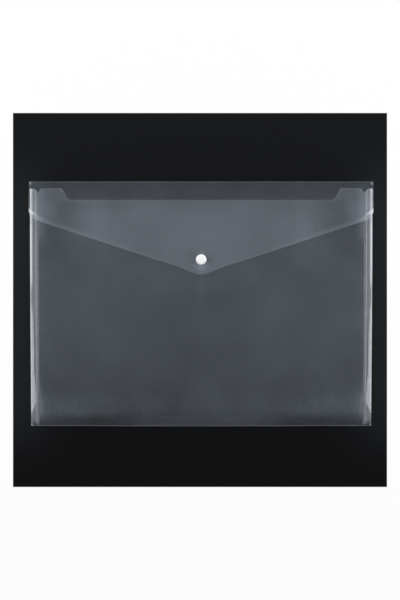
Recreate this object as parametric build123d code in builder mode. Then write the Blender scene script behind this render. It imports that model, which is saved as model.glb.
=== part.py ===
import os
from math import sqrt

from build123d import *

# Document wallet of clear film, closed by a press stud, lying on its back panel.
# Millimetres. The origin is under the middle of the wallet, +X runs across it,
# +Y runs from the bottom fold to the flap fold and +Z points up, out of the front.

# Overall sizes
wallet_width = 335.0
wallet_height = 240.0
film = 0.3
pocket_depth = 6.3

# Gaps
fold_gap = 0.1
crease_gap = 0.2
flap_gap = 0.15
cut_overrun = 2.0

# Bottom fold and the rise of the front sheet behind it
fold_bend = 0.3
fold_end_inset = 0.4
rise_length = 15.0

# Top edge of the front sheet: shoulders, finger recess and the notch at each gusset crease
shoulder_drop = 6.55
recess_drop = 17.8
shoulder_width = 19.8
recess_flare = 5.9
recess_inner_round = 5.8
shoulder_round = 1.2
notch_depth = 3.95
notch_front_reach = 3.5
notch_gusset_reach = 4.3

# Gussets and the flanges that weld them to the back panel
crease_inset = 8.8
gusset_inset = 0.2
gusset_sag_share = 0.084
gusset_station_shares = (0.4, 0.75, 0.95)
gusset_end_round = 1.5
flange_width = 6.3
flange_end_inner = 3.4
flange_end_outer = 2.6

# Flap outline, measured down from the flap fold and out from the middle
flap_side_length = 35.1
flap_top_inset = 0.3
flap_overhang = 0.3
flap_corner_round = 11.0
flap_bow_x = 71.5
flap_bow_length = 67.0
nose_half_width = 23.2
nose_vertex_length = 91.85
nose_depth = 9.6
nose_flare_round = 60.0
nose_round = 22.0

# Press stud
stud_nose_inset = 16.2
stud_flat = 1.4
cap_diameter = 10.2
cap_height = 1.3
cap_rim = 0.45
cap_edge_break = 0.2
post_diameter = 2.4
post_clearance = 0.1
head_diameter = 3.2
head_height = 0.4
socket_diameter = 9.6
socket_height = 2.3
socket_web = 0.5
socket_cavity = 5.4
socket_lip = 4.8
socket_lip_height = 0.4
socket_edge_break = 0.3
spring_slot_count = 4
spring_slot_width = 0.5
spring_slot_reach = 3.6
stud_diameter = 9.6
stud_base = 0.7
stud_edge_break = 0.25
stud_neck = 3.8
stud_bulb = 4.2
stud_neck_height = 0.45
stud_head_gap = 0.2
seat_gap = 0.1
back_cap_diameter = 10.0
back_cap_height = 0.9
back_cap_edge_break = 0.3

# Places that several pieces share
half_width = wallet_width / 2
top_y = wallet_height / 2
bottom_y = -wallet_height / 2

flange_top = film * 2
face_under = film + pocket_depth
face_top = face_under + film

fold_radius = fold_bend + film
fold_y = bottom_y + fold_radius
fold_z = fold_radius

spine_y = top_y - film / 2
spine_low_z = film / 2
flap_under = face_top + flap_gap
spine_high_z = flap_under + film / 2
panel_end_y = spine_y - film / 2 - fold_gap

front_half = half_width - crease_inset - crease_gap / 2
gusset_inner = front_half + crease_gap
gusset_outer = half_width - gusset_inset
shoulder_y = top_y - shoulder_drop
recess_y = top_y - recess_drop
notch_y = shoulder_y - notch_depth
notch_gusset_x = gusset_inner + notch_gusset_reach

rise_start_y = fold_y + fold_gap
rise_end_y = rise_start_y + rise_length
rise_low_z = fold_z + fold_radius
rise_height = face_top - rise_low_z
rise_radius = (rise_length**2 + rise_height**2) / (2 * rise_height)

nose_y = top_y - nose_vertex_length
stud_y = nose_y + stud_nose_inset
stud_axis = Axis((0, stud_y, 0), (0, 0, 1))
stud_plane = Plane.XZ.offset(-stud_y)
stud_base_top = face_top + stud_base
socket_low_z = stud_base_top + seat_gap
snap_z = socket_low_z + socket_height
flap_top = snap_z + film
web_low_z = snap_z - socket_web
cap_head_z = web_low_z - head_height
stud_top = cap_head_z - stud_head_gap
film_hole = post_diameter / 2 + post_clearance


def rise_drop(distance, radius):
    # How far the curved foot of the front sheet falls, a distance back from where it is level.
    return radius - sqrt(radius**2 - distance**2)


def on_side(side, points):
    return [(side * x, y) for x, y in points]


# Back panel: the sheet that the wallet lies on
with BuildPart() as back_panel:
    with BuildSketch():
        with BuildLine():
            Polyline(
                (-half_width, fold_y),
                (half_width, fold_y),
                (half_width, panel_end_y),
                (-half_width, panel_end_y),
                close=True,
            )
        make_face()
    extrude(amount=film)
back_panel.part.label = "back_panel"

# Bottom fold: the half-round bend between the back panel and the front sheet
with BuildPart() as bottom_fold:
    with BuildSketch(Plane.YZ):
        with Locations((fold_y, fold_z)):
            Circle(fold_radius)
            Circle(fold_bend, mode=Mode.SUBTRACT)
            Rectangle(
                fold_radius + cut_overrun,
                fold_radius * 2 + cut_overrun,
                align=(Align.MIN, Align.CENTER),
                mode=Mode.SUBTRACT,
            )
    extrude(amount=half_width - fold_end_inset, both=True)
bottom_fold.part.label = "bottom_fold"

# Front sheet: it rises off the bottom fold on a curve, and its top edge has the finger recess
with BuildPart() as front_panel:
    with BuildSketch(Plane.YZ):
        with BuildLine():
            inner_radius = rise_radius - film
            inner_low_z = face_under - rise_drop(rise_length, inner_radius)
            outer_rise = TangentArc((rise_end_y, face_top), (rise_start_y, rise_low_z), tangent=(-1, 0))
            inner_rise = TangentArc((rise_end_y, face_under), (rise_start_y, inner_low_z), tangent=(-1, 0))
            Line(outer_rise @ 1, inner_rise @ 1)
            Polyline(
                outer_rise @ 0,
                (shoulder_y, face_top),
                (shoulder_y, face_under),
                inner_rise @ 0,
            )
        make_face()
    extrude(amount=front_half, both=True)
    with BuildSketch() as front_outline:
        with BuildLine():
            shoulder_start = front_half - notch_front_reach - shoulder_width
            right_edge = [
                (shoulder_start - recess_flare, recess_y),
                (shoulder_start, shoulder_y),
                (front_half - notch_front_reach, shoulder_y),
                (front_half, notch_y),
                (front_half, rise_start_y),
            ]
            Polyline(*right_edge, *reversed(on_side(-1, right_edge)), close=True)
        make_face()
        front_rows = front_outline.vertices().group_by(Axis.Y)
        fillet(front_rows[-1].filter_by(lambda v: abs(v.X) < front_half - crease_inset), shoulder_round)
        fillet(front_outline.vertices().filter_by(lambda v: abs(v.Y - recess_y) < film), recess_inner_round)
    extrude(amount=face_top + cut_overrun, mode=Mode.INTERSECT)
    with Locations((0, stud_y, face_top)):
        Hole(film_hole)
front_panel.part.label = "front_panel"

# Flap spine: the narrow wall between the two flap creases, with a rounded crease along each edge
with BuildPart() as flap_spine:
    with BuildSketch(Plane.YZ):
        with Locations((spine_y, (spine_low_z + spine_high_z) / 2)):
            SlotCenterToCenter(spine_high_z - spine_low_z, film, rotation=90)
    extrude(amount=half_width - flap_top_inset, both=True)
flap_spine.part.label = "flap_spine"

# Flap: arched from its crease up to the level stretch that the press stud holds
with BuildPart() as flap_panel:
    with BuildSketch(Plane.YZ):
        with BuildLine():
            level_y = stud_y + socket_diameter / 2 + stud_flat
            arch_length = panel_end_y - level_y
            arch_height = snap_z - flap_under
            arch_radius = (arch_length**2 + arch_height**2) / (2 * arch_height)
            arch_top_z = flap_top - rise_drop(arch_length, arch_radius + film)
            arch_under = TangentArc((level_y, snap_z), (panel_end_y, flap_under), tangent=(1, 0))
            arch_over = TangentArc((level_y, flap_top), (panel_end_y, arch_top_z), tangent=(1, 0))
            Line(arch_under @ 1, arch_over @ 1)
            Polyline(arch_under @ 0, (nose_y, snap_z), (nose_y, flap_top), arch_over @ 0)
        make_face()
    extrude(amount=half_width + flap_overhang, both=True)
    with BuildSketch() as flap_outline:
        with BuildLine():
            flap_corner_y = top_y - flap_side_length
            right_edge = [
                (half_width - flap_top_inset, panel_end_y),
                (half_width + flap_overhang, flap_corner_y),
                (flap_bow_x, top_y - flap_bow_length),
                (nose_half_width, nose_y + nose_depth),
            ]
            Polyline((0, nose_y), *reversed(right_edge), *on_side(-1, right_edge), close=True)
        make_face()
        fillet(flap_outline.vertices().group_by(Axis.Y)[0], nose_round)
        side_corners = flap_outline.vertices().filter_by(lambda v: abs(v.Y - flap_corner_y) < film)
        fillet(side_corners, flap_corner_round)
        flares = flap_outline.vertices().filter_by(lambda v: abs(abs(v.X) - nose_half_width) < film)
        fillet(flares, nose_flare_round)
    extrude(amount=flap_top + cut_overrun, mode=Mode.INTERSECT)
    with Locations((0, stud_y, flap_top)):
        Hole(film_hole)
flap_panel.part.label = "flap_panel"


def gusset_section(side, crease_z):
    # Cross-section of a gusset in its XZ plane: a strip that sags between the weld and the crease.
    low = (gusset_outer, flange_top)
    high = (gusset_inner, crease_z)
    chord = Vector(*high) - Vector(*low)
    inward = Vector(-chord.Y, chord.X).normalized()
    middle = (Vector(*low) + Vector(*high)) / 2 + inward * chord.Y * gusset_sag_share
    inner_low = (gusset_outer - film * chord.length / chord.Y, flange_top)
    inner_high = (gusset_inner, crease_z + film * chord.length / chord.X)
    inner_middle = middle + inward * film
    outer_points = on_side(side, [low, (middle.X, middle.Y), high])
    inner_points = on_side(side, [inner_low, (inner_middle.X, inner_middle.Y), inner_high])
    outer_arc = ThreePointArc(*outer_points)
    inner_arc = ThreePointArc(*inner_points)
    Line(outer_arc @ 1, inner_arc @ 1)
    Line(outer_arc @ 0, inner_arc @ 0)


def gusset_stations():
    # Places along the gusset with its crease height: level first, then down the curved foot.
    stations = [(shoulder_y, face_top), (rise_end_y, face_top)]
    for share in gusset_station_shares:
        distance = rise_length * share
        stations.append((rise_end_y - distance, face_top - rise_drop(distance, rise_radius)))
    return stations


gussets = {}
flanges = {}
for side, side_name in ((-1, "left"), (1, "right")):
    # Gusset: side strip, notched at its crease and tapering into the bottom corner
    with BuildPart() as gusset:
        for station_y, crease_z in gusset_stations():
            with BuildSketch(Plane.XZ.offset(-station_y)):
                with BuildLine():
                    gusset_section(side, crease_z)
                make_face()
        loft(ruled=True)
        with BuildSketch() as gusset_outline:
            with BuildLine():
                gusset_end_y = gusset_stations()[-1][0]
                gusset_points = [
                    (gusset_inner, notch_y),
                    (notch_gusset_x, shoulder_y),
                    (gusset_outer, shoulder_y),
                    (gusset_outer, gusset_end_y),
                    (gusset_inner, gusset_end_y),
                ]
                Polyline(*on_side(side, gusset_points), close=True)
            make_face()
            end_corner = gusset_outline.vertices().group_by(Axis.Y)[0].sort_by(lambda v: abs(v.X))[-1]
            fillet(end_corner, gusset_end_round)
        extrude(amount=face_top + cut_overrun, mode=Mode.INTERSECT)
    gusset.part.label = side_name + "_gusset"
    gussets[side_name] = gusset.part

    # Weld flange: the flat strip under the gusset, mitred at both ends
    with BuildPart() as weld_flange:
        with BuildSketch(Plane.XY.offset(film)):
            with BuildLine():
                flange_inner = gusset_outer - flange_width
                notch_slope = notch_depth / notch_gusset_reach
                flange_points = [
                    (flange_inner, shoulder_y - (notch_gusset_x - flange_inner) * notch_slope),
                    (notch_gusset_x, shoulder_y),
                    (gusset_outer, shoulder_y),
                    (gusset_outer, bottom_y + flange_end_outer),
                    (flange_inner, bottom_y + flange_end_inner),
                ]
                Polyline(*on_side(side, flange_points), close=True)
            make_face()
        extrude(amount=film)
    weld_flange.part.label = side_name + "_weld_flange"
    flanges[side_name] = weld_flange.part

# Snap cap: the domed button on the flap, whose post is riveted inside the socket
with BuildPart() as snap_cap:
    with BuildSketch(stud_plane) as cap_profile:
        with BuildLine():
            cap_radius = cap_diameter / 2
            dome = TangentArc(
                (0, flap_top + cap_height),
                (cap_radius, flap_top + cap_rim),
                tangent=(1, 0),
            )
            Polyline(
                dome @ 1,
                (cap_radius, flap_top),
                (post_diameter / 2, flap_top),
                (post_diameter / 2, web_low_z),
                (head_diameter / 2, web_low_z),
                (head_diameter / 2, cap_head_z),
                (0, cap_head_z),
                dome @ 0,
            )
        make_face()
        chamfer(cap_profile.vertices().group_by(Axis.X)[-1], cap_edge_break)
    revolve(axis=stud_axis)
snap_cap.part.label = "snap_cap"

# Snap socket: the ring under the flap, with a springy lip cut by slots
with BuildPart() as snap_socket:
    with BuildSketch(stud_plane) as socket_profile:
        with BuildLine():
            Polyline(
                (film_hole, snap_z),
                (socket_diameter / 2, snap_z),
                (socket_diameter / 2, socket_low_z),
                (socket_lip / 2, socket_low_z),
                (socket_lip / 2, socket_low_z + socket_lip_height),
                (socket_cavity / 2, socket_low_z + socket_lip_height),
                (socket_cavity / 2, web_low_z),
                (film_hole, web_low_z),
                close=True,
            )
        make_face()
        outer_corner = socket_profile.vertices().group_by(Axis.X)[-1].sort_by(Axis.Y)[0]
        chamfer(outer_corner, socket_edge_break)
    revolve(axis=stud_axis)
    with BuildSketch(Plane.XY.offset(socket_low_z)):
        with Locations((0, stud_y)):
            with PolarLocations(0, spring_slot_count):
                Rectangle(spring_slot_reach, spring_slot_width, align=(Align.MIN, Align.CENTER))
    extrude(amount=web_low_z - socket_low_z, mode=Mode.SUBTRACT)
snap_socket.part.label = "snap_socket"

# Snap stud: the bulb on the front sheet that the socket grips
with BuildPart() as snap_stud:
    with BuildSketch(stud_plane) as stud_profile:
        with BuildLine():
            rivet_seat_z = stud_top - head_height - post_clearance
            rivet_radius = head_diameter / 2 + post_clearance
            bulb_z = stud_base_top + stud_neck_height
            Polyline(
                (film_hole, face_top),
                (stud_diameter / 2, face_top),
                (stud_diameter / 2, stud_base_top),
                (stud_neck / 2, stud_base_top),
                (stud_bulb / 2, bulb_z),
                (stud_bulb / 2, (bulb_z + stud_top) / 2),
                (stud_neck / 2, stud_top),
                (rivet_radius, stud_top),
                (rivet_radius, rivet_seat_z),
                (film_hole, rivet_seat_z),
                close=True,
            )
        make_face()
        rim_corner = stud_profile.vertices().group_by(Axis.X)[-1].sort_by(Axis.Y)[-1]
        chamfer(rim_corner, stud_edge_break)
    revolve(axis=stud_axis)
snap_stud.part.label = "snap_stud"

# Snap back cap: the flat disc inside the pocket, whose post is riveted in the stud
with BuildPart() as snap_back_cap:
    with BuildSketch(stud_plane) as back_cap_profile:
        with BuildLine():
            Polyline(
                (0, face_under - back_cap_height),
                (back_cap_diameter / 2, face_under - back_cap_height),
                (back_cap_diameter / 2, face_under),
                (post_diameter / 2, face_under),
                (post_diameter / 2, rivet_seat_z),
                (head_diameter / 2, rivet_seat_z),
                (head_diameter / 2, rivet_seat_z + head_height),
                (0, rivet_seat_z + head_height),
                close=True,
            )
        make_face()
        disc_corner = back_cap_profile.vertices().group_by(Axis.X)[-1].sort_by(Axis.Y)[0]
        chamfer(disc_corner, back_cap_edge_break)
    revolve(axis=stud_axis)
snap_back_cap.part.label = "snap_back_cap"

os.makedirs("parts", exist_ok=True)
export_step(back_panel.part, "parts/back_panel.step")
export_step(bottom_fold.part, "parts/bottom_fold.step")
export_step(front_panel.part, "parts/front_panel.step")
export_step(flap_spine.part, "parts/flap_spine.step")
export_step(flap_panel.part, "parts/flap_panel.step")
for side_name, gusset_part in gussets.items():
    export_step(gusset_part, "parts/" + side_name + "_gusset.step")
    export_step(flanges[side_name], "parts/" + side_name + "_weld_flange.step")
export_step(snap_cap.part, "parts/snap_cap.step")
export_step(snap_socket.part, "parts/snap_socket.step")
export_step(snap_stud.part, "parts/snap_stud.step")
export_step(snap_back_cap.part, "parts/snap_back_cap.step")
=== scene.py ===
import bmesh
import bpy
import math
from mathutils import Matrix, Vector, kdtree, noise


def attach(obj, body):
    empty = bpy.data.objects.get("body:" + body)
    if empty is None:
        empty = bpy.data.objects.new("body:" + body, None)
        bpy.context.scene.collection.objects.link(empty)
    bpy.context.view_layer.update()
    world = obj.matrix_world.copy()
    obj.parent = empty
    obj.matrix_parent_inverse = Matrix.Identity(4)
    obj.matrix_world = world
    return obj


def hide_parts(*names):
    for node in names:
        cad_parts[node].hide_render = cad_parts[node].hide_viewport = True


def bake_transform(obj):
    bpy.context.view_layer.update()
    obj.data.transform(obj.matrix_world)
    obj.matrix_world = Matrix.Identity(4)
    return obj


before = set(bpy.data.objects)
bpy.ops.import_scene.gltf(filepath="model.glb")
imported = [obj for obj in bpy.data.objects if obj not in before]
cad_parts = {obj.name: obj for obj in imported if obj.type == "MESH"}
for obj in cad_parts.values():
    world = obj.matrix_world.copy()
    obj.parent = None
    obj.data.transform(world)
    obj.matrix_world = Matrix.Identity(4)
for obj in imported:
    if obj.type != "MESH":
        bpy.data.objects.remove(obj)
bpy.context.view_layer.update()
scene = bpy.context.scene
mm = 0.001


def spanOf(nodeName):
    # how far a solid of the part reaches along each axis, in mm
    places = [vert.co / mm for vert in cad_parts[nodeName].data.vertices]
    span = {}
    for i, axis in enumerate("xyz"):
        values = [place[i] for place in places]
        span[axis] = (round(min(values), 3), round(max(values), 3))
    return span


backSpan = spanOf("back_panel")
frontSpan = spanOf("front_panel")
flapSpan = spanOf("flap_panel")
gussetSpan = spanOf("right_gusset")
flangeSpan = spanOf("right_weld_flange")
capSpan = spanOf("snap_cap")

# sizes shared by the film pieces, in millimetres
wallet = {
    "halfWidth": backSpan["x"][1],
    "film": backSpan["z"][1],
    "creaseY": backSpan["y"][1],
    "frontHalf": frontSpan["x"][1],
    "shoulderY": frontSpan["y"][1],
    "faceTop": frontSpan["z"][1],
    "foldTop": spanOf("bottom_fold")["z"][1],
    "riseStart": frontSpan["y"][0],
    "riseLength": 15.0,  # the curved foot of the front
    "studY": sum(capSpan["y"]) / 2,
    "studHole": 6.0,  # every hole for the press stud lies within this radius
}


def smoothStep(nothing, full, value):
    # 0 at the first place and 1 at the second, whichever of them is greater
    share = min(max((value - nothing) / (full - nothing), 0.0), 1.0)
    return share * share * (3 - 2 * share)


def softPatches(patches, **places):
    # sum of soft patches: each pair runs from where a patch is nothing to where it is full, and a fade
    # runs from full at 0 down to nothing at its reach
    total = 0.0
    for patch in patches.values():
        part = patch["amount"]
        for axis, place in places.items():
            for nothing, full in patch.get(axis, ()):
                part *= smoothStep(nothing, full, place)
        for axis, reach, power in patch.get("fades", ()):
            part *= max(0.0, 1 - places[axis] / reach) ** power
        total += part
    return total


def ripple(x, y, length, seed):
    # gentle unevenness of a film, about -1 to 1, with waves of this length in mm
    return noise.noise(Vector((x / length, y / length, seed)))


def arcRadius(run, rise):
    # radius of an arc that starts level and rises by this much over this run
    return (run ** 2 + rise ** 2) / (2 * rise)


def arcDrop(radius, away):
    return radius - math.sqrt(radius * radius - away * away)


# node helpers
def put(tree, socket, value):
    if isinstance(value, bpy.types.NodeSocket):
        tree.links.new(value, socket)
    else:
        socket.default_value = value


def calc(tree, operation, *values):
    node = tree.nodes.new("ShaderNodeMath")
    node.operation = operation
    for socket, value in zip(node.inputs, values):
        put(tree, socket, value)
    return node.outputs[0]


def remap(tree, value, fromLow, fromHigh, toLow, toHigh, smooth=True):
    node = tree.nodes.new("ShaderNodeMapRange")
    node.interpolation_type = "SMOOTHSTEP" if smooth else "LINEAR"
    for name, number in (("Value", value), ("From Min", fromLow), ("From Max", fromHigh),
                         ("To Min", toLow), ("To Max", toHigh)):
        put(tree, node.inputs[name], number)
    return node.outputs["Result"]


def mixColour(tree, first, second, factor, blend="MIX"):
    node = tree.nodes.new("ShaderNodeMix")
    node.data_type = "RGBA"
    node.blend_type = blend
    put(tree, node.inputs["Factor"], factor)
    put(tree, node.inputs["A"], first)
    put(tree, node.inputs["B"], second)
    return node.outputs["Result"]


def grainAt(tree, scale, stretch=(1, 1, 1), detail=2.0, roughness=0.5):
    # noise on the piece's own coordinates; scale counts features to the metre
    place = tree.nodes.new("ShaderNodeTexCoord")
    mapping = tree.nodes.new("ShaderNodeMapping")
    mapping.inputs["Scale"].default_value = stretch
    tree.links.new(place.outputs["Object"], mapping.inputs["Vector"])
    grain = tree.nodes.new("ShaderNodeTexNoise")
    tree.links.new(mapping.outputs["Vector"], grain.inputs["Vector"])
    grain.inputs["Scale"].default_value = scale
    grain.inputs["Detail"].default_value = detail
    grain.inputs["Roughness"].default_value = roughness
    return grain.outputs["Fac"]


def centred(tree, grain, spread):
    # noise about 0 instead of about a half, times its spread
    return calc(tree, "MULTIPLY", calc(tree, "SUBTRACT", grain, 0.5), spread)


def addBump(tree, height, look):
    bump = tree.nodes.new("ShaderNodeBump")
    bump.inputs["Strength"].default_value = look["bump"]
    bump.inputs["Distance"].default_value = look["bumpDepth"]
    tree.links.new(height, bump.inputs["Height"])
    tree.links.new(bump.outputs["Normal"], tree.nodes["Principled BSDF"].inputs["Normal"])


def newGroup(name, inputs, outputs):
    group = bpy.data.node_groups.new(name, "ShaderNodeTree")
    for label, number in inputs:
        socket = group.interface.new_socket(label, in_out="INPUT", socket_type="NodeSocketFloat")
        socket.default_value = number
    for label in outputs:
        group.interface.new_socket(label, in_out="OUTPUT", socket_type="NodeSocketFloat")
    return group, group.nodes.new("NodeGroupInput"), group.nodes.new("NodeGroupOutput")


def placeGroup(tree, group, **values):
    node = tree.nodes.new("ShaderNodeGroup")
    node.node_tree = group
    for label, value in values.items():
        put(tree, node.inputs[label], value)
    return node


# clouding, shared by the films
cloudLook = {
    "broad": {"scale": 22, "detail": 2.5},
    "speckle": {"scale": 360, "stretch": (1.4, 0.8, 1), "roughness": 0.6},
    "lines": {"scale": 16, "stretch": (42, 1, 1)},
    "scuff": {"scale": 55, "stretch": (1, 5, 1), "detail": 6, "roughness": 0.7},
    "fine": {"scale": 1500},
    "broadShare": 0.6, "speckleShare": 0.7, "leastShare": 0.15,
    "scuffFrom": (0.62, 0.8), "roughSpread": 0.06,
    "lineHeight": 0.6, "fineHeight": 0.4,
}


def makeClouding():
    # milkiness of drawn film: broad mottling and speckle, fine draw lines and a few scuffs
    group, given, made = newGroup(
        "filmClouding",
        [("Haze", 0.01), ("Mottle", 0.3), ("Lines", 0.1), ("Scuffs", 0.01), ("Roughness", 0.12)],
        ["Haze", "Roughness", "Height"])
    broad, speckle, lines, scuff, fine = (
        grainAt(group, **cloudLook[word]) for word in ("broad", "speckle", "lines", "scuff", "fine"))
    both = calc(group, "ADD", centred(group, broad, cloudLook["broadShare"]),
                centred(group, speckle, cloudLook["speckleShare"]))
    patch = calc(group, "MULTIPLY", both, given.outputs["Mottle"])
    drawn = centred(group, lines, given.outputs["Lines"])
    share = calc(group, "ADD", calc(group, "ADD", patch, drawn), 1.0)
    share = calc(group, "MAXIMUM", share, cloudLook["leastShare"])
    worn = remap(group, scuff, *cloudLook["scuffFrom"], 0, 1)
    worn = calc(group, "MULTIPLY", worn, given.outputs["Scuffs"])
    haze = calc(group, "ADD", calc(group, "MULTIPLY", given.outputs["Haze"], share), worn)
    group.links.new(haze, made.inputs["Haze"])
    rough = calc(group, "ADD", given.outputs["Roughness"], centred(group, broad, cloudLook["roughSpread"]))
    group.links.new(rough, made.inputs["Roughness"])
    height = calc(group, "ADD", calc(group, "MULTIPLY", lines, cloudLook["lineHeight"]),
                  calc(group, "MULTIPLY", fine, cloudLook["fineHeight"]))
    group.links.new(height, made.inputs["Height"])
    return group


# stress whitening and painted highlight, shared by cut edges and creases
whiteningAndHighlightLook = {"ragged": {"scale": 150, "detail": 3}}


def makeWhitening():
    # fades over a reach from an edge or a crease, and the reach is ragged; it paints whitening and highlight
    group, given, made = newGroup(
        "stressWhitening",
        [("Distance", 10.0), ("Reach", 1.0), ("Strength", 0.1), ("Ragged", 0.5)],
        ["Whitening"])
    ragged = grainAt(group, **whiteningAndHighlightLook["ragged"])
    waver = calc(group, "ADD", 1.0, centred(group, ragged, given.outputs["Ragged"]))
    reach = calc(group, "MULTIPLY", given.outputs["Reach"], waver)
    fade = remap(group, given.outputs["Distance"], 0.0, reach, 1.0, 0.0)
    group.links.new(calc(group, "MULTIPLY", fade, given.outputs["Strength"]), made.inputs["Whitening"])
    return group


# skin of the moulded press stud
skinLook = {"tone": {"scale": 260, "detail": 3}, "fine": {"scale": 4200},
            "toneFrom": (0.2, 0.8), "toneTo": (0.97, 1.0), "roughSpread": 0.15}


def makeMouldedSkin():
    # a faint texture from the tool and slight unevenness of gloss
    group, given, made = newGroup(
        "mouldedSkin", [("Roughness", 0.35), ("Texture", 1.0)], ["Tone", "Roughness", "Height"])
    tone = grainAt(group, **skinLook["tone"])
    fine = grainAt(group, **skinLook["fine"])
    group.links.new(remap(group, tone, *skinLook["toneFrom"], *skinLook["toneTo"]), made.inputs["Tone"])
    rough = calc(group, "ADD", given.outputs["Roughness"], centred(group, tone, skinLook["roughSpread"]))
    group.links.new(rough, made.inputs["Roughness"])
    group.links.new(calc(group, "MULTIPLY", fine, given.outputs["Texture"]), made.inputs["Height"])
    return group


clouding = makeClouding()
whiteningAndHighlight = makeWhitening()
mouldedSkin = makeMouldedSkin()


# film materials
def readAttribute(tree, name):
    node = tree.nodes.new("ShaderNodeAttribute")
    node.attribute_name = name
    return node.outputs["Fac"]


def addMark(tree, haze, look, mark):
    # a mark whitens, with painted highlight, by an amount that its attribute holds, or by the attribute's
    # distance from a line
    value = readAttribute(tree, mark["attribute"])
    if "reach" in mark:
        distance = calc(tree, "ABSOLUTE", calc(tree, "SUBTRACT", value, mark["offset"]))
        whiteAndHighlight = placeGroup(tree, whiteningAndHighlight, Distance=distance, Reach=mark["reach"],
                           Strength=mark["strength"], Ragged=mark["ragged"])
        return calc(tree, "ADD", haze, whiteAndHighlight.outputs["Whitening"])
    if "tint" in mark:
        strong = remap(tree, value, *mark["tintFrom"], 0, 1)
        colour = mixColour(tree, (*look["tint"], 1), (*mark["tint"], 1), strong)
        tree.links.new(colour, tree.nodes["Principled BSDF"].inputs["Base Color"])
    return calc(tree, "ADD", haze, value)


def makeFilm(name, look):
    material = bpy.data.materials.new(name)
    material.use_nodes = True
    tree = material.node_tree
    solid = tree.nodes["Principled BSDF"]
    solid.inputs["Base Color"].default_value = (*look["tint"], 1)
    solid.inputs["IOR"].default_value = look["ior"]
    cloud = placeGroup(tree, clouding, Haze=look["haze"], Mottle=look["mottle"],
                       Lines=look["lines"], Scuffs=look["scuffs"], Roughness=look["roughness"])
    haze = cloud.outputs["Haze"]
    if look.get("milk"):
        haze = calc(tree, "MULTIPLY", haze, readAttribute(tree, "milk"))
    for mark in look.get("marks", ()):
        haze = addMark(tree, haze, look, mark)
    # a film mirrors a little face on and more at a slant; the rest of the solid share is milkiness
    facing = tree.nodes.new("ShaderNodeLayerWeight")
    facing.inputs["Blend"].default_value = 0.5
    slant = calc(tree, "POWER", facing.outputs["Facing"], look["slantPower"])
    mirror = calc(tree, "ADD", calc(tree, "MULTIPLY", slant, look["slantMirror"]), look["mirror"])
    if look.get("gloss"):
        mirror = calc(tree, "MULTIPLY", mirror, readAttribute(tree, "gloss"))
    both = calc(tree, "ADD", mirror, haze)
    tree.links.new(calc(tree, "DIVIDE", mirror, both), solid.inputs["Metallic"])
    tree.links.new(cloud.outputs["Roughness"], solid.inputs["Roughness"])
    addBump(tree, cloud.outputs["Height"], look)
    tree.links.new(calc(tree, "MINIMUM", both, 1.0), solid.inputs["Alpha"])
    return material


filmTint = (0.76, 0.875, 1.0)
edgeTint = (0.88, 0.93, 1.0)
weldTint = (0.92, 0.955, 1.0)
filmBase = {"tint": filmTint, "haze": 0.0215, "mottle": 1.5, "lines": 0.2, "scuffs": 0.004, "roughness": 0.2,
            "ior": 1.5, "mirror": 0.022, "slantMirror": 0.9, "slantPower": 5.0,
            "bump": 0.04, "bumpDepth": 0.00003}
edgeMark = {"attribute": "edgeDistance", "offset": 0.0, "reach": 0.9, "strength": 0.075, "ragged": 0.4}
creaseMark = {"attribute": "acrossGusset", "offset": 1.1, "reach": 0.95, "strength": 0.045, "ragged": 0.6}
# the flap's bent border: stress whitening and painted highlight, with a paler tint
bendMark = {"attribute": "whiteAndHighlight", "tint": (0.95, 0.97, 1.0), "tintFrom": (0.02, 0.2)}
# weld whitening and painted highlight along the outer edge
weldAndHighlightMark = {"attribute": "weld"}
filmLooks = {
    "frontFilm": {"milk": True, "gloss": True, "marks": [edgeMark]},
    "flapFilm": {"haze": 0.019, "milk": True, "marks": [bendMark]},
    "backFilm": {"haze": 0.0025, "mirror": 0.01},
    "backWeldFilm": {"haze": 0.0025, "mirror": 0.01, "tint": weldTint, "marks": [weldAndHighlightMark]},
    # painted highlight: the bottom fold, the spine and the cut edges are hazier than the faces, so they show
    # as bright lines
    "foldFilm": {"haze": 0.047, "mottle": 0.6, "tint": edgeTint},
    "spineFilm": {"haze": 0.085, "mottle": 0.6, "tint": edgeTint},
    "cutFilm": {"haze": 0.05, "mottle": 0.6, "tint": edgeTint},
    "gussetFilm": {"haze": 0.0285, "lines": 0.6, "mirror": 0.016, "roughness": 0.36,
                   "tint": (0.84, 0.91, 1.0), "milk": True, "marks": [creaseMark]},
    "weldFilm": {"haze": 0.006, "tint": weldTint, "marks": [weldAndHighlightMark]},
}
films = {name: makeFilm(name, {**filmBase, **look}) for name, look in filmLooks.items()}

# press stud material
snapLook = {"colour": (0.86, 0.87, 0.88), "roughness": 0.42, "bump": 0.15, "bumpDepth": 0.00002}


def makePlastic(name, look):
    material = bpy.data.materials.new(name)
    material.use_nodes = True
    tree = material.node_tree
    solid = tree.nodes["Principled BSDF"]
    skin = placeGroup(tree, mouldedSkin, Roughness=look["roughness"], Texture=1.0)
    colour = mixColour(tree, (*look["colour"], 1), skin.outputs["Tone"], 1.0, "MULTIPLY")
    tree.links.new(colour, solid.inputs["Base Color"])
    tree.links.new(skin.outputs["Roughness"], solid.inputs["Roughness"])
    addBump(tree, skin.outputs["Height"], look)
    return material


snapWhite = makePlastic("snapWhite", snapLook)
print("materials ready")

# mesh helpers
meshLook = {"merge": 2e-6, "cutMerge": 1e-6, "flatAngle": 0.3, "flatNormal": 0.5, "outlineStep": 0.5}


def nodeCopy(nodeName):
    # a solid's mesh, merged, with the triangles of each flat face made one face
    bm = bmesh.new()
    bm.from_mesh(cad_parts[nodeName].data)
    bmesh.ops.remove_doubles(bm, verts=bm.verts, dist=meshLook["merge"])
    flatAngle = math.radians(meshLook["flatAngle"])
    bmesh.ops.dissolve_limit(bm, angle_limit=flatAngle, verts=bm.verts, edges=bm.edges)
    bm.normal_update()
    return bm


def liesFlat(face):
    # true on the two sides of a film, false on its cut edge
    return abs(face.normal.z) > meshLook["flatNormal"]


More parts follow.
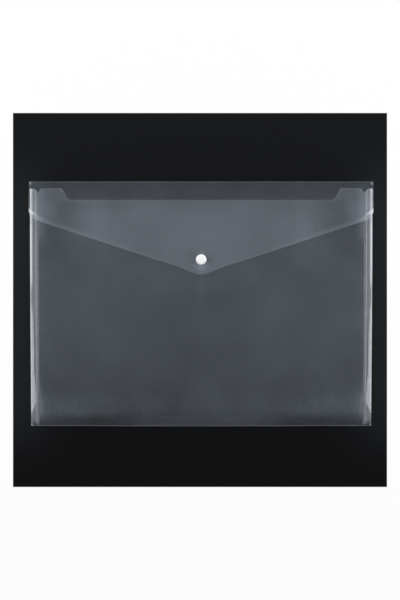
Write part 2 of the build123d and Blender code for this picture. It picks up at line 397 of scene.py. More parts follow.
def addRim(bm, widths, isFold):
    # narrow bands of faces just inside the cut outline, on both sides of the film; the first is the cut's own
    for side in (1, -1):
        faces = [f for f in bm.faces if liesFlat(f) and f.normal.z * side > 0]
        for i, width in enumerate(widths):
            band = bmesh.ops.inset_region(bm, faces=faces, thickness=width * mm, use_even_offset=True,
                                          use_boundary=True)
            for face in band["faces"]:
                face.material_index = 1 if i == 0 else 0
    bm.normal_update()
    for face in bm.faces:
        if not liesFlat(face):
            face.material_index = 1
        if isFold(face.calc_center_median().y / mm):
            face.material_index = 0


def cutGrid(bm, axis, places):
    direction = Vector((1, 0, 0)) if axis == "x" else Vector((0, 1, 0))
    for place in places:
        bmesh.ops.bisect_plane(bm, geom=bm.verts[:] + bm.edges[:] + bm.faces[:], dist=meshLook["cutMerge"],
                               plane_co=direction * place * mm, plane_no=direction)


def steps(low, high, step):
    count = max(1, round((high - low) / step))
    return [low + (high - low) * i / count for i in range(1, count)]


def bothSides(places):
    return [side * place for side in (-1, 1) for place in places]


def outlineTree(bm, keep):
    # points along the cut edge of the film, to measure distances from
    points = []
    for edge in bm.edges:
        if len(edge.link_faces) == 2:
            first, second = edge.link_faces
            if liesFlat(first) != liesFlat(second):
                a, b = (v.co for v in edge.verts)
                count = max(1, int((b - a).length / (meshLook["outlineStep"] * mm)))
                points += [a.lerp(b, i / count) for i in range(count + 1)]
    points = [p for p in points if keep(p.x / mm, p.y / mm)]
    tree = kdtree.KDTree(len(points))
    for i, point in enumerate(points):
        tree.insert((point.x, point.y, 0), i)
    tree.balance()
    return tree


def fromStud(x, y):
    return math.hypot(x, y - wallet["studY"])


def edgeDistances(bm, tree):
    return [tree.find((v.co.x, v.co.y, 0))[2] / mm for v in bm.verts]


def setAttribute(bm, name, values):
    layer = bm.verts.layers.float.get(name) or bm.verts.layers.float.new(name)
    for vert, value in zip(bm.verts, values):
        vert[layer] = value


# bows of the wallet's edges, in mm
bowLook = {
    "outward": {
        "length": {"amount": 0.1, "across": [(157, 165)], "y": [(-119, -100)]},
        "middle": {"amount": 0.12, "across": [(157, 165)], "y": [(-60, -15), (78, 30)]},
        "top": {"amount": -0.1, "across": [(157, 165)], "y": [(70, 90)]},
    },
    "upward": {"bottomEnds": {"amount": 0.32, "across": [(70, 112)], "y": [(-96, -119.2)]}},
}


def bowEdges(bm):
    # the welded sides bow out a little between their ends, and the bottom edge in its middle
    for vert in bm.verts:
        place = {"across": abs(vert.co.x) / mm, "y": vert.co.y / mm}
        vert.co.x += math.copysign(softPatches(bowLook["outward"], **place) * mm, vert.co.x)
        vert.co.y += softPatches(bowLook["upward"], **place) * mm


def makePiece(name, bm, materials, nodes, sharpAngle=40):
    mesh = bpy.data.meshes.new(name)
    bm.to_mesh(mesh)
    bm.free()
    for material in materials:
        mesh.materials.append(material)
    mesh.shade_smooth()
    mesh.set_sharp_from_angle(angle=math.radians(sharpAngle))
    piece = bpy.data.objects.new(name, mesh)
    scene.collection.objects.link(piece)
    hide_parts(*nodes)
    return piece


# back sheet
backLook = {
    "rim": 0.35, "step": 6.0, "foldY": (-118.9, 119.1),
    "weldCuts": (0.35, 0.7, 1.1, 1.6, 2.2, 3.2), "cutsY": (-118.2, -117.4, 112.6, 113.4, 114.0),
    "wave": 0.25, "waveLength": 55.0, "waveSeed": 3.1, "hold": (8.0, 24.0),
    "cornerY": -119.2,
    # weld whitening with painted highlight along the outer edge
    "weld": {
        "edge": {"amount": 0.07, "fromEdge": [(1.7, 0.25)], "y": [(114.0, 112.6)]},
        "upperEdge": {"amount": 0.2, "fromEdge": [(1.7, 0.25)], "y": [(-108, -98), (114.0, 112.6)]},
        "corner": {"amount": 0.25, "fromCorner": [(1.5, 0.5)]},
    },
}


def backWeldAndHighlight(fromEdge, y):
    # the back's own whitening along the weld, with painted highlight along the outer edge, and a bright spot
    # at each bottom corner
    fromCorner = math.hypot(fromEdge, y - backLook["cornerY"])
    return softPatches(backLook["weld"], fromEdge=fromEdge, y=y, fromCorner=fromCorner)


def buildBack():
    bm = nodeCopy("back_panel")
    lowFold, highFold = backLook["foldY"]
    addRim(bm, [backLook["rim"]], lambda y: y < lowFold or y > highFold)
    cutGrid(bm, "x", steps(*backSpan["x"], backLook["step"]))
    cutGrid(bm, "x", bothSides([wallet["halfWidth"] - d for d in backLook["weldCuts"]]))
    cutGrid(bm, "y", steps(*backSpan["y"], backLook["step"]) + list(backLook["cutsY"]))
    distances = edgeDistances(bm, outlineTree(bm, lambda x, y: True))
    # weld whitening and painted highlight, per vertex
    weld = []
    for vert, distance in zip(bm.verts, distances):
        x, y = vert.co.x / mm, vert.co.y / mm
        free = smoothStep(*backLook["hold"], distance)
        lift = 0.5 + 0.5 * ripple(x, y, backLook["waveLength"], backLook["waveSeed"])  # never below the sheet
        vert.co.z += free * lift * backLook["wave"] * mm
        weld.append(backWeldAndHighlight(wallet["halfWidth"] - abs(x), y))
    setAttribute(bm, "weld", weld)
    weldInner = (wallet["halfWidth"] - backLook["weldCuts"][-1]) * mm
    for face in bm.faces:
        if abs(face.calc_center_median().x) > weldInner and liesFlat(face):
            face.material_index = 2
    bowEdges(bm)
    materials = [films["backFilm"], films["cutFilm"], films["backWeldFilm"]]
    piece = makePiece("backSheet", bm, materials, ["back_panel"])
    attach(piece, "back")


# front sheet
footY = [(-103, -117)]
beltY = [(-113, -105), (-76, -101)]
lowBeltY = [(-119, -112), (-84, -98)]
frontLook = {
    "rim": 0.35, "foldY": -118.7, "stepX": 5.0, "stepY": 4.0, "footStep": 0.8, "gridTop": 112.0,
    "creaseCuts": (1, 2, 3.2, 4.5, 6, 8, 10.5), "lineCuts": (-3.5, -1.5, 0, 1.5, 3.5), "outlineFoot": -117,
    "wave": 0.45, "waveLength": 62.0, "waveSeed": 7.7, "hold": (1.0, 22.0), "studHold": (8.0, 20.0),
    # the cut edge's whitening and painted highlight show most on the shoulders, less along the recess and the
    # creases
    "edgeAway": {"below": {"amount": 0.7, "y": [(107.0, 103.5)]}},
    "gloss": {"plain": {"amount": 0.15}, "aboveFoot": {"amount": 0.85, "y": [(-117.5, -112.0)]}},
    # how milky the front is against plain film: clear patches along the foot paint its shade, more milk at
    # its middle and corners paints light, a paler belt runs over them, and it is whiter beside the creases
    "milk": {
        "plain": {"amount": 1.0},
        # painted light at the middle and corners of the foot, painted shade at its sides
        "foot": {"amount": 0.97, "y": footY},
        "footSides": {"amount": -1.37, "across": [(22, 106)], "y": footY},
        "footCorners": {"amount": 0.4, "across": [(112, 156)], "y": footY},
        "footEdge": {"amount": 0.17, "across": [(40, 70)], "y": [(-113, -116)]},
        "belt": {"amount": 0.1, "y": beltY},
        "beltSides": {"amount": 0.35, "across": [(40, 140)], "y": beltY},
        "lowBelt": {"amount": 0.1, "y": lowBeltY},
        "lowBeltSides": {"amount": 0.2, "across": [(105, 140)], "y": lowBeltY},
        "crease": {"amount": 0.12, "fades": [("fromCrease", 12.0, 1.5)]},
        "highCrease": {"amount": 1.1, "fades": [("fromCrease", 12.0, 1.5)], "y": [(48, 76)]},
        "highCreaseEdge": {"amount": 0.8, "fromCrease": [(7.0, 1.0)], "y": [(60, 72)]},
        "lowCrease": {"amount": 1.5, "fades": [("fromCrease", 10.0, 1.4)], "y": [(-117, -108), (-78, -95)]},
        "lowCreaseEdge": {"amount": 0.5, "fromCrease": [(4.5, 0.5)], "y": [(-112, -100), (-68, -82)]},
        "upperSides": {"amount": -0.36, "across": [(126, 142)], "y": [(34, 54)]},
        "underFlap": {"amount": 0.22, "across": [(84, 100), (130, 116)], "y": [(24, 44)]},
        "middle": {"amount": -0.2, "across": [(80, 20)], "y": [(-80, -45), (25, 0)]},
        "shoulders": {"amount": 0.3, "across": [(134, 140), (158, 151)], "y": [(98, 105)]},
        # a faint line that the stud has pressed into the middle
        "studLine": {"amount": 0.4, "fades": [("across", 3.5, 1)], "y": [(-6, 10), (40, 36)]},
    },
}
riseEnd = wallet["riseStart"] + wallet["riseLength"]
riseRadius = arcRadius(wallet["riseLength"], wallet["faceTop"] - wallet["foldTop"])


def frontHeight(y, onTop):
    top = wallet["faceTop"] - (0 if onTop else wallet["film"])
    if y >= riseEnd:
        return top
    return top - arcDrop(riseRadius - (0 if onTop else wallet["film"]), riseEnd - y)


def frontMilkAndShade(x, y):
    across = abs(x)
    return softPatches(frontLook["milk"], across=across, fromCrease=wallet["frontHalf"] - across, y=y)


def buildFront():
    bm = nodeCopy("front_panel")
    addRim(bm, [frontLook["rim"]], lambda y: y < frontLook["foldY"])
    cutGrid(bm, "x", steps(*frontSpan["x"], frontLook["stepX"]))
    cutGrid(bm, "x", bothSides([wallet["frontHalf"] - d for d in frontLook["creaseCuts"]]))
    cutGrid(bm, "x", frontLook["lineCuts"])
    cutGrid(bm, "y", steps(wallet["riseStart"], riseEnd, frontLook["footStep"]))
    cutGrid(bm, "y", [riseEnd] + steps(riseEnd, frontLook["gridTop"], frontLook["stepY"]))
    tree = outlineTree(bm, lambda x, y: fromStud(x, y) > wallet["studHole"] and y > frontLook["outlineFoot"])
    distances = edgeDistances(bm, tree)
    for vert, distance in zip(bm.verts, distances):
        x, y, z = (c / mm for c in vert.co)
        middle = (frontHeight(y, True) + frontHeight(y, False)) / 2
        height = frontHeight(y, z > middle)
        free = smoothStep(*frontLook["hold"], min(distance, y - wallet["riseStart"]))
        free *= smoothStep(*frontLook["studHold"], fromStud(x, y))
        height += free * frontLook["wave"] * ripple(x, y, frontLook["waveLength"], frontLook["waveSeed"])
        vert.co.z = height * mm
    setAttribute(bm, "edgeDistance", [d + softPatches(frontLook["edgeAway"], y=v.co.y / mm)
                                      for d, v in zip(distances, bm.verts)])
    setAttribute(bm, "milk", [frontMilkAndShade(v.co.x / mm, v.co.y / mm) for v in bm.verts])
    setAttribute(bm, "gloss", [softPatches(frontLook["gloss"], y=v.co.y / mm) for v in bm.verts])
    bowEdges(bm)
    piece = makePiece("frontSheet", bm, [films["frontFilm"], films["cutFilm"]], ["front_panel"])
    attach(piece, "front")


# bottom fold and spine wall
foldLook = {"step": 6.0, "spineSharp": 50}


def buildFolds():
    bm = nodeCopy("bottom_fold")
    cutGrid(bm, "x", steps(*backSpan["x"], foldLook["step"]))
    bowEdges(bm)
    piece = makePiece("bottomFold", bm, [films["foldFilm"]], ["bottom_fold"])
    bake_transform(piece)
    bm = nodeCopy("flap_spine")
    piece = makePiece("spineWall", bm, [films["spineFilm"]], ["flap_spine"],
                      foldLook["spineSharp"])
    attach(piece, "spine")


# flap
flapLook = {
    "rims": (0.35, 0.75, 0.9, 0.9, 0.9, 0.5, 0.5, 0.8), "foldY": 119.1, "outlineTop": 119.0,
    "stepX": 4.0, "stepY": 1.5, "gridFoot": 27.5, "cornerY": (82, 96), "cornerStep": 0.7,
    "cornerX": (157, 158.5, 160.5, 162, 163.2, 164.3, 165.2, 166.2),
    "studFlat": 6.4, "under": flapSpan["z"][1] - wallet["film"],
    "wave": 0.4, "waveLength": 70.0, "waveSeed": 1.4, "studHold": (7.0, 24.0), "creaseHold": (0.5, 14.0),
    # the bent border along the lower edge: broad at the sides, narrow at the nose
    "bandNarrow": 1.2, "bandWide": 4.3, "bandGrow": (8, 105), "bandSlope": 2.8, "bandBend": 1.0,
    # where the border's inner bend runs out to the side edge, past the straight stretch of the lower edge
    "bendX": 159.0, "bendY": 86.6, "bendRise": 0.9, "bendCurve": 0.035, "cornerTurn": (157.0, 160.5),
    "cornerShare": 0.75,
    "curl": {"lowerEdge": {"amount": 0.3, "fromEdge": [(5.0, 0.0)], "across": [(156, 140)]}},
    # whiter above and below the press stud, which pulls on the nose, and clearer beside it
    "pullFrom": (4.8, 5.6), "pullTo": (12.5, 7.8), "pullBelow": 2.8, "pullAbove": 0.6, "pullBeside": -0.5,
    # milkiness of the flap's face and of the strip above the finger recess
    "stripFrom": (98.5, 103.5),
    "faceMilk": {
        "plain": {"amount": 1.08},
        "sides": {"amount": -0.85, "across": [(98, 127), (150, 135)]},
        "middle": {"amount": 0.28, "across": [(70, 15)], "y": [(50, 66)]},
        "corners": {"amount": 0.6, "across": [(137, 148)], "y": [(82, 90)]},
        "underStrip": {"amount": -0.15, "across": [(118, 105)], "y": [(88, 97)]},
    },
    "stripMilk": {
        "plain": {"amount": 0.72},
        "sides": {"amount": 0.2, "across": [(70, 100)]},
        "lower": {"amount": 0.08, "y": [(116, 103)]},
        "shoulders": {"amount": -0.2, "across": [(120, 132), (155, 145)]},
    },
    # stress whitening and painted highlight: the bent border catching light, stronger towards the corner,
    # and the bend's bright end over the weld
    "spotPlace": (166.4, 118.6),
    "streakReach": {
        "plain": {"amount": 0.9},
        "overGusset": {"amount": 0.5, "across": [(159, 163)]},
        "overWeld": {"amount": 1.3, "across": [(163, 165)]},
    },
    "whiteAndHighlight": {
        "border": {"amount": 0.01, "across": [(55, 85)], "inside": [(-0.35, 0.35)]},
        "borderSides": {"amount": 0.011, "across": [(100, 122)], "inside": [(-0.35, 0.35)]},
        "borderCorners": {"amount": 0.035, "across": [(149, 159)], "inside": [(-0.35, 0.35)]},
        "lowerEdge": {"amount": 0.005, "fromEdge": [(1.6, 0.7)]},
        "streak": {"amount": 0.06, "across": [(153, 160.5)], "fromBend": [(1.15, 0.4)]},
        "streakEnd": {"amount": 0.2, "across": [(160, 164.5)], "fromBend": [(1.15, 0.4)]},
        "sideEdge": {"amount": 0.02, "across": [(166.2, 166.8)]},
        "topCorner": {"amount": 0.1, "fromSpot": [(2.4, 0.6)]},
    },
}
levelY = wallet["studY"] + flapLook["studFlat"]
archRadius = arcRadius(wallet["creaseY"] - levelY, flapLook["under"] - flapSpan["z"][0])


def flapHeight(y, onTop):
    thick = wallet["film"] if onTop else 0
    if y <= levelY:
        return flapLook["under"] + thick
    return flapLook["under"] + thick - arcDrop(archRadius + thick, y - levelY)


def bentEdge(inside):
    # the last few millimetres of the flap stand up a little, past a soft bend
    bend = flapLook["bandBend"]
    if inside < -bend / 2:
        return 0.0
    run = (inside + bend / 2) ** 2 / (2 * bend) if inside < bend / 2 else inside
    return run * math.tan(math.radians(flapLook["bandSlope"]))


def bandWidth(across):
    narrow, wide = flapLook["bandNarrow"], flapLook["bandWide"]
    return narrow + (wide - narrow) * smoothStep(*flapLook["bandGrow"], across)


def bendHeight(across):
    past = across - flapLook["bendX"]
    return flapLook["bendY"] + flapLook["bendRise"] * past - flapLook["bendCurve"] * max(0.0, past) ** 2


def insideBorder(across, y, fromEdge):
    # millimetres past the inner bend, towards the flap's lower edge
    atCorner = smoothStep(*flapLook["cornerTurn"], across)
    corner = flapLook["cornerShare"] * (bendHeight(across) - y)
    return (1 - atCorner) * (bandWidth(across) - fromEdge) + atCorner * corner


def studPull(x, y):
    away = Vector((x, y - wallet["studY"]))
    pull = smoothStep(*flapLook["pullFrom"], away.length) * smoothStep(*flapLook["pullTo"], away.length)
    aim = away / max(away.length, 1e-6)
    below, above = max(0.0, -aim.y) ** 2, max(0.0, aim.y) ** 2
    return pull * (flapLook["pullBelow"] * below + flapLook["pullAbove"] * above
                   + flapLook["pullBeside"] * aim.x ** 2)


def flapMilk(x, y):
    face = softPatches(flapLook["faceMilk"], across=abs(x), y=y) + studPull(x, y)
    strip = softPatches(flapLook["stripMilk"], across=abs(x), y=y)
    return face + (strip - face) * smoothStep(*flapLook["stripFrom"], y)


def flapWhiteAndHighlight(across, y, fromEdge):
    reach = softPatches(flapLook["streakReach"], across=across)
    spotX, spotY = flapLook["spotPlace"]
    return softPatches(flapLook["whiteAndHighlight"], across=across, fromEdge=fromEdge,
                       inside=insideBorder(across, y, fromEdge),
                       fromBend=abs(y - bendHeight(across)) / reach,
                       fromSpot=math.hypot(across - spotX, y - spotY))


def buildFlap():
    bm = nodeCopy("flap_panel")
    addRim(bm, flapLook["rims"], lambda y: y > flapLook["foldY"])
    cutGrid(bm, "x", steps(*backSpan["x"], flapLook["stepX"]))
    cutGrid(bm, "x", bothSides(flapLook["cornerX"]))
    cutGrid(bm, "y", steps(flapLook["gridFoot"], wallet["creaseY"], flapLook["stepY"])
            + steps(*flapLook["cornerY"], flapLook["cornerStep"]))
    tree = outlineTree(bm, lambda x, y: y < flapLook["outlineTop"] and fromStud(x, y) > wallet["studHole"])
    distances = edgeDistances(bm, tree)
    milk, whiteAndHighlight = [], []
    for vert, distance in zip(bm.verts, distances):
        x, y, z = (c / mm for c in vert.co)
        across = abs(x)
        middle = (flapHeight(y, True) + flapHeight(y, False)) / 2
        height = flapHeight(y, z > middle)
        atStud = smoothStep(*flapLook["studHold"], fromStud(x, y))
        atCrease = smoothStep(*flapLook["creaseHold"], wallet["creaseY"] - y)
        wave = flapLook["wave"] * ripple(x, y, flapLook["waveLength"], flapLook["waveSeed"])
        height += atStud * atCrease * wave
        height += atCrease * bentEdge(insideBorder(across, y, distance))
        vert.co.y += softPatches(flapLook["curl"], fromEdge=distance, across=across) * mm
        vert.co.z = height * mm
        milk.append(flapMilk(x, y))
        # stress whitening and painted highlight of the bent border
        whiteAndHighlight.append(flapWhiteAndHighlight(across, y, distance))
    setAttribute(bm, "milk", milk)
    setAttribute(bm, "whiteAndHighlight", whiteAndHighlight)
    piece = makePiece("flapSheet", bm, [films["flapFilm"], films["cutFilm"]], ["flap_panel"])
    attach(piece, "flap")


# gussets
gussetLook = {
    "across": 16, "along": 150, "inner": gussetSpan["x"][0], "outer": gussetSpan["x"][1],
    "flangeTop": gussetSpan["z"][0], "endY": gussetSpan["y"][0], "endRound": 1.5,
    "notchReach": 4.3, "notchDepth": 3.95,
    "sag": 0.084, "wave": 0.18, "waveLength": 38.0, "waveAcross": 9, "waveSeed": 5.5,
    # the inner half whitens where it is pressed flat at its foot, and a clearer band runs beside the weld
    "bandOffset": 4.3,
    "milk": {
        "plain": {"amount": 1.0},
        "foot": {"amount": 1.2, "offset": [(0.2, 1.6), (4.6, 3.4)], "y": [(-109, -117)]},
        "clearBand": {"amount": -0.7, "fromBand": [(0.9, 0.3)], "y": [(-80, -66), (-5, -25)]},
    },
}


def gussetPoint(share, y):
    # share runs from the flange to the crease, and the strip sags towards the pocket between them
    low = Vector((gussetLook["outer"], gussetLook["flangeTop"]))
    high = Vector((gussetLook["inner"], frontHeight(y, True)))
    chord = high - low
    inward = Vector((-chord.y, chord.x)).normalized()
    belly = 4 * share * (1 - share)  # 1 halfway, 0 at both ends
    gape = chord.y / (wallet["faceTop"] - gussetLook["flangeTop"])
    buckle = gussetLook["wave"] * ripple(share * gussetLook["waveAcross"], y, gussetLook["waveLength"],
                                         gussetLook["waveSeed"])
    return low + chord * share + inward * belly * (chord.y * gussetLook["sag"] + buckle * gape)


def gussetMilk(offset, y):
    fromBand = abs(offset - gussetLook["bandOffset"])
    return softPatches(gussetLook["milk"], offset=offset, fromBand=fromBand, y=y)


def buildGusset(side, name, nodeName):
    # a flat grid of width and height 1 is bent to the strip, and half of its columns lie under the notch
    bm = bmesh.new()
    half = 0.5
    bmesh.ops.create_grid(bm, x_segments=gussetLook["across"], y_segments=gussetLook["along"], size=half)
    offsets = []
    span = gussetLook["outer"] - gussetLook["inner"]
    notch, endRound = gussetLook["notchReach"], gussetLook["endRound"]
    for vert in bm.verts:
        inNotch = min(vert.co.x + half, half) / half
        pastNotch = max(vert.co.x, 0.0) / half
        offset = inNotch * notch + pastNotch * (span - notch)
        top = wallet["shoulderY"] - max(0.0, notch - offset) / notch * gussetLook["notchDepth"]
        intoRound = min(max(0.0, offset - (span - endRound)), endRound)
        bottom = gussetLook["endY"] + arcDrop(endRound, intoRound)
        y = bottom + (vert.co.y + half) * (top - bottom)
        point = gussetPoint(1 - offset / span, y)
        vert.co = (side * point.x * mm, y * mm, point.y * mm)
        offsets.append(offset)
    setAttribute(bm, "acrossGusset", offsets)
    setAttribute(bm, "milk", [gussetMilk(d, v.co.y / mm) for d, v in zip(offsets, bm.verts)])
    bmesh.ops.recalc_face_normals(bm, faces=bm.faces)
    if bm.faces[0].normal.z < 0:
        bmesh.ops.reverse_faces(bm, faces=bm.faces)
    bmesh.ops.solidify(bm, geom=bm.faces[:], thickness=wallet["film"] * mm)
    bowEdges(bm)
    bm.normal_update()
    piece = makePiece(name, bm, [films["gussetFilm"], films["cutFilm"]], [nodeName])
    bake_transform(piece)


# weld flanges
thinHighlightY = [(-8, 4), (24, 12)]
lowY = [(20, -60)]
weldAndHighlightLook = {
    "stepX": 0.3, "footY": (-116, -95), "footStep": 1.0, "upperY": (-95, 113), "upperStep": 3.0,
    # the painted highlight over the weld runs thin and faint at one place
    "thinHighlight": {"place": {"amount": 0.88, "y": thinHighlightY}},
    # how far the flat weld whitening and the painted highlight over it reach from the edge:
    # wider low down, with slow and quick waves
    "reach": {
        "plain": {"amount": 2.1},
        "low": {"amount": 0.85, "y": [(-10, -20)]},
        "lower": {"amount": 1.2, "y": [(-62, -80)]},
        "foot": {"amount": 0.8, "y": [(-80, -92)]},
        "top": {"amount": 0.45, "y": [(58, 74)]},
        "thinHighlight": {"amount": -0.5, "y": thinHighlightY},
    },
    "waves": ({"height": 0.3, "length": 30.0, "seed": 2.2}, {"height": 0.2, "length": 9.0, "seed": 8.2}),
    "wavePlace": 40, "softness": 0.25,
    # the weld ends on a slant at its foot
    "slantFoot": -107.5, "slantLength": 11.4,
    "flat": {"plain": {"amount": 0.07}, "low": {"amount": 0.145, "y": lowY}},
    # brightest along the edge, a painted highlight over the weld's whitening
    "edgeFade": (2.75, 0.6), "edgeFoot": (-109, -103),
    "edge": {"plain": {"amount": 0.36}, "low": {"amount": -0.28, "y": lowY}},
    "edgeShare": {
        "plain": {"amount": 0.6},
        "upper": {"amount": 0.65, "y": [(5, 45)]},
        "underFlap": {"amount": -0.45, "y": [(78, 90)]},
        "top": {"amount": 0.2, "y": [(109.5, 112.5)]},
    },
    # a thin line near the flange's inner edge
    "lineOffset": 5.45,
    "line": {
        "length": {"amount": 0.0825, "fromLine": [(0.75, 0.15)]},
        "aboveFoot": {"amount": 0.0675, "fromLine": [(0.75, 0.15)], "y": [(-108, -98)]},
    },
}


# weld whitening with a painted highlight of the gusset's outer edge over it
def weldAndHighlightAmount(side, fromEdge, y):
    reach = softPatches(weldAndHighlightLook["reach"], y=y)
    for wave in weldAndHighlightLook["waves"]:
        reach += wave["height"] * ripple(side * weldAndHighlightLook["wavePlace"], y, wave["length"], wave["seed"])
    reach *= min(max((y - weldAndHighlightLook["slantFoot"]) / weldAndHighlightLook["slantLength"], 0.0), 1.0)
    soft = weldAndHighlightLook["softness"]
    flat = softPatches(weldAndHighlightLook["flat"], y=y) * smoothStep(reach + soft, reach - soft, fromEdge)
    edge = softPatches(weldAndHighlightLook["edge"], y=y) * softPatches(weldAndHighlightLook["edgeShare"], y=y)
    edge *= smoothStep(*weldAndHighlightLook["edgeFade"], fromEdge) * smoothStep(*weldAndHighlightLook["edgeFoot"], y)
    line = softPatches(weldAndHighlightLook["line"], fromLine=abs(fromEdge - weldAndHighlightLook["lineOffset"]), y=y)
    return (edge + flat) * (1 - softPatches(weldAndHighlightLook["thinHighlight"], y=y)) + line


def buildFlange(side, name, nodeName):
    bm = nodeCopy(nodeName)
    # the notch at the mouth takes off the inner top corner
    notchX = gussetLook["inner"] + gussetLook["notchReach"]
    cut = bmesh.ops.bisect_plane(bm, geom=bm.verts[:] + bm.edges[:] + bm.faces[:], dist=meshLook["cutMerge"],
                                 clear_outer=True, plane_co=(side * notchX * mm, wallet["shoulderY"] * mm, 0),
                                 plane_no=Vector((-side, 1, 0)).normalized())
    bmesh.ops.holes_fill(bm, edges=[e for e in cut["geom_cut"] if isinstance(e, bmesh.types.BMEdge)])
    cutGrid(bm, "x", [side * x for x in steps(*flangeSpan["x"], weldAndHighlightLook["stepX"])])
    cutGrid(bm, "y", steps(*weldAndHighlightLook["footY"], weldAndHighlightLook["footStep"])
            + steps(*weldAndHighlightLook["upperY"], weldAndHighlightLook["upperStep"]))
    fromEdge = [gussetLook["outer"] - abs(v.co.x) / mm for v in bm.verts]
    # the weld attribute holds weld whitening and painted highlight
    setAttribute(bm, "weld", [weldAndHighlightAmount(side, d, v.co.y / mm) for d, v in zip(fromEdge, bm.verts)])
    bowEdges(bm)
    piece = makePiece(name, bm, [films["weldFilm"]], [nodeName])
    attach(piece, "back")


# press stud
capLook = {
    "radius": capSpan["x"][1], "base": flapSpan["z"][1], "top": capSpan["z"][1], "headLow": capSpan["z"][0],
    "rim": 0.42, "postRadius": 1.2, "headRadius": 1.6, "headHeight": 0.4, "turn": 72, "sharp": 50,
    # shallow dome, then a rolled rim as shares of the radius and heights over the rim line
    "domeSteps": 12, "domeShare": 0.93, "domePower": 9, "domeEnd": 0.18,
    "roll": ((0.97, 0.03), (0.995, -0.12), (1.0, -0.28)), "baseShare": 0.985,
}


def capProfile():
    radius, base, top = capLook["radius"], capLook["base"], capLook["top"]
    rimLine = base + capLook["rim"]
    profile = []
    for i in range(capLook["domeSteps"] + 1):
        share = i / capLook["domeSteps"]
        drop = (top - rimLine - capLook["domeEnd"]) * share ** capLook["domePower"]
        profile.append((radius * capLook["domeShare"] * share, top - drop))
    profile += [(radius * share, rimLine + over) for share, over in capLook["roll"]]
    post, head = capLook["postRadius"], capLook["headRadius"]
    headLow = capLook["headLow"]
    headHigh = headLow + capLook["headHeight"]
    profile += [(radius * capLook["baseShare"], base), (post, base)]
    return profile + [(post, headHigh), (head, headHigh), (head, headLow), (0, headLow)]


def buildCap():
    bm = bmesh.new()
    verts = [bm.verts.new((x * mm, wallet["studY"] * mm, z * mm)) for x, z in capProfile()]
    edges = [bm.edges.new(pair) for pair in zip(verts, verts[1:])]
    bmesh.ops.spin(bm, geom=verts + edges, cent=(0, wallet["studY"] * mm, 0), axis=(0, 0, 1),
                   angle=math.tau, steps=capLook["turn"], use_merge=True)
    bmesh.ops.remove_doubles(bm, verts=bm.verts, dist=meshLook["cutMerge"])
    bmesh.ops.recalc_face_normals(bm, faces=bm.faces)
    piece = makePiece("snapCap", bm, [snapWhite], ["snap_cap"], capLook["sharp"])
    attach(piece, "flap")


def dressSnapNodes():
    # the rest of the press stud keeps the part's own solids
    for nodeName in ("snap_socket", "snap_stud", "snap_back_cap"):
        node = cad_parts[nodeName]
        node.data.materials.clear()
        node.data.materials.append(snapWhite)


buildBack()
buildFront()
buildFolds()
print("sheets and folds built")
buildFlap()
print("flap built")
for side, word in ((-1, "left"), (1, "right")):
    buildFlange(side, word + "WeldFlange", word + "_weld_flange")
    buildGusset(side, word + "Gusset", word + "_gusset")
print("gussets and flanges built")
buildCap()
dressSnapNodes()
print("press stud built")

# stage: reaches in metres, the mat's corners and heights in mm
stageLook = {
    "floorReach": 12.0, "wallHeight": 3.2, "floorSides": 96, "floorTop": -0.8,
    "floorColour": (0.85, 0.85, 0.85), "floorGlow": 0.9, "roughness": 0.9, "specular": 0.1,
    "matTop": -0.25, "matColour": (0.005, 0.0055, 0.0065),
    "matTopY": 187.1, "matTopX": (-183.5, 181.2), "matLowY": -180.5, "matLowX": (-186.0, 183.7),
    # painted light on the felt along the mat and at its sides, each from two places in metres to two shares
    "paintedLightAlong": (-0.18, 0.187, 0.4, 1.0),
    "paintedLightSides": (0.13, 0.18, 0.0, 1.0),
    "paintedLightMiddle": (0.09, 0.17, 1.4, 0.0),
}


def makeStageSurface(name, colour, glow):
    material = bpy.data.materials.new(name)
    material.use_nodes = True
    tree = material.node_tree
    solid = tree.nodes["Principled BSDF"]
    solid.inputs["Base Color"].default_value = (*colour, 1)
    solid.inputs["Roughness"].default_value = stageLook["roughness"]
    solid.inputs["Specular IOR Level"].default_value = stageLook["specular"]
    material.cycles.emission_sampling = "NONE"
    if glow:
        # the paper looks bright to the camera and in mirrors but lights nothing
        light = tree.nodes.new("ShaderNodeEmission")
        path = tree.nodes.new("ShaderNodeLightPath")
        seen = calc(tree, "MAXIMUM", path.outputs["Is Glossy Ray"], path.outputs["Is Transmission Ray"])
        seen = calc(tree, "MAXIMUM", path.outputs["Is Camera Ray"], seen)
        mix = tree.nodes.new("ShaderNodeMixShader")
        tree.links.new(calc(tree, "MULTIPLY", seen, glow), mix.inputs[0])
        tree.links.new(solid.outputs[0], mix.inputs[1])
        tree.links.new(light.outputs[0], mix.inputs[2])
        tree.links.new(mix.outputs[0], tree.nodes["Material Output"].inputs["Surface"])
    return material


def paintLightOnMat(tree):
    # painted light: the mat's felt is a little greyer towards its sides and its far edge
    place = tree.nodes.new("ShaderNodeTexCoord")
    split = tree.nodes.new("ShaderNodeSeparateXYZ")
    tree.links.new(place.outputs["Object"], split.inputs[0])
    along = remap(tree, split.outputs["Y"], *stageLook["paintedLightAlong"], smooth=False)
    sides = remap(tree, calc(tree, "ABSOLUTE", split.outputs["X"]), *stageLook["paintedLightSides"])
    middle = remap(tree, calc(tree, "ABSOLUTE", split.outputs["Y"]), *stageLook["paintedLightMiddle"])
    paintedLight = calc(tree, "ADD", along, calc(tree, "MULTIPLY", sides, middle))
    colour = mixColour(tree, (*stageLook["matColour"], 1), paintedLight, 1.0, "MULTIPLY")
    tree.links.new(colour, tree.nodes["Principled BSDF"].inputs["Base Color"])


def stageObject(name, bm, material):
    mesh = bpy.data.meshes.new(name)
    bm.to_mesh(mesh)
    bm.free()
    mesh.materials.append(material)
    thing = bpy.data.objects.new(name, mesh)
    scene.collection.objects.link(thing)


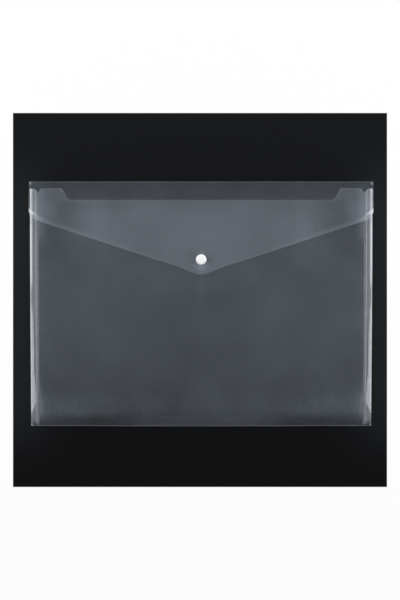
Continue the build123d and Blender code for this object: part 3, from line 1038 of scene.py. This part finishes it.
def buildStage():
    paper = makeStageSurface("floorPaper", stageLook["floorColour"], stageLook["floorGlow"])
    felt = makeStageSurface("matFelt", stageLook["matColour"], 0)
    paintLightOnMat(felt.node_tree)
    ring = {"radius": stageLook["floorReach"], "segments": stageLook["floorSides"]}
    bm = bmesh.new()
    bmesh.ops.create_circle(bm, cap_ends=True, **ring)
    bmesh.ops.translate(bm, verts=bm.verts, vec=(0, 0, stageLook["floorTop"] * mm))
    stageObject("floor", bm, paper)
    bm = bmesh.new()
    bmesh.ops.create_circle(bm, cap_ends=False, **ring)
    wall = bmesh.ops.extrude_edge_only(bm, edges=bm.edges[:])
    top = [v for v in wall["geom"] if isinstance(v, bmesh.types.BMVert)]
    bmesh.ops.translate(bm, verts=top, vec=(0, 0, stageLook["wallHeight"]))
    stageObject("backdrop", bm, paper)
    bm = bmesh.new()
    bmesh.ops.create_grid(bm, x_segments=1, y_segments=1, size=0.5)
    for vert in bm.verts:
        end = "matTop" if vert.co.y > 0 else "matLow"
        x = stageLook[end + "X"][0 if vert.co.x < 0 else 1]
        vert.co = (x * mm, stageLook[end + "Y"] * mm, stageLook["matTop"] * mm)
    stageObject("mat", bm, felt)


# lamps: place and aim in metres, size across and along, watts to the square metre
lamps = {
    "overheadSoftbox": {"place": (0, 0.04, 1.5), "aim": (0, 0.04, 0), "size": (1.2, 0.58), "power": 2.0},
    "leftStrip": {"place": (-1.0, 0, 0.4), "aim": (0, 0, 0), "size": (1.2, 0.5), "power": 12.4},
    "rightStrip": {"place": (1.0, 0, 0.4), "aim": (0, 0, 0), "size": (1.2, 0.5), "power": 12.4},
    "backSoftbox": {"place": (0, 1.15, 1.15), "aim": (0, 0, 0), "size": (1.6, 0.7), "power": 18.4},
}
worldLook = {"colour": (0.94, 0.97, 1.0), "strength": 0.1}


def buildLamps():
    for name, look in lamps.items():
        data = bpy.data.lights.new(name, "AREA")
        data.shape = "RECTANGLE"
        data.size, data.size_y = look["size"]
        data.energy = look["power"] * data.size * data.size_y
        lamp = bpy.data.objects.new(name, data)
        lamp.location = look["place"]
        aim = (Vector(look["aim"]) - Vector(look["place"])).normalized()
        lamp.rotation_euler = aim.to_track_quat("-Z", "Y").to_euler()
        lamp.visible_camera = False
        scene.collection.objects.link(lamp)


def buildWorld():
    world = bpy.data.worlds.new("studio")
    world.use_nodes = True
    background = world.node_tree.nodes["Background"]
    background.inputs["Color"].default_value = (*worldLook["colour"], 1)
    background.inputs["Strength"].default_value = worldLook["strength"]
    scene.world = world


# camera: target and distance in mm, tilt in degrees
cameraLook = {"target": (-1.15, 4.8, 5.0), "distance": 1200.0, "tilt": 2.6, "frameHeight": 586.5,
              "sensor": 36.0, "clip": (0.01, 100)}


def buildCamera():
    data = bpy.data.cameras.new("camera")
    data.sensor_width = cameraLook["sensor"]
    data.lens = cameraLook["sensor"] * cameraLook["distance"] / cameraLook["frameHeight"]
    data.clip_start, data.clip_end = cameraLook["clip"]
    camera = bpy.data.objects.new("camera", data)
    tilt = math.radians(cameraLook["tilt"])
    away = Vector((0, math.sin(tilt), math.cos(tilt))) * cameraLook["distance"] * mm
    camera.location = Vector(cameraLook["target"]) * mm + away
    camera.rotation_euler = (-tilt, 0, 0)
    scene.collection.objects.link(camera)
    scene.camera = camera


buildStage()
buildLamps()
buildWorld()
buildCamera()
scene.view_settings.view_transform = "Standard"
scene.cycles.transparent_max_bounces = 40
scene.cycles.use_light_tree = False
print("stage, lamps and camera ready")
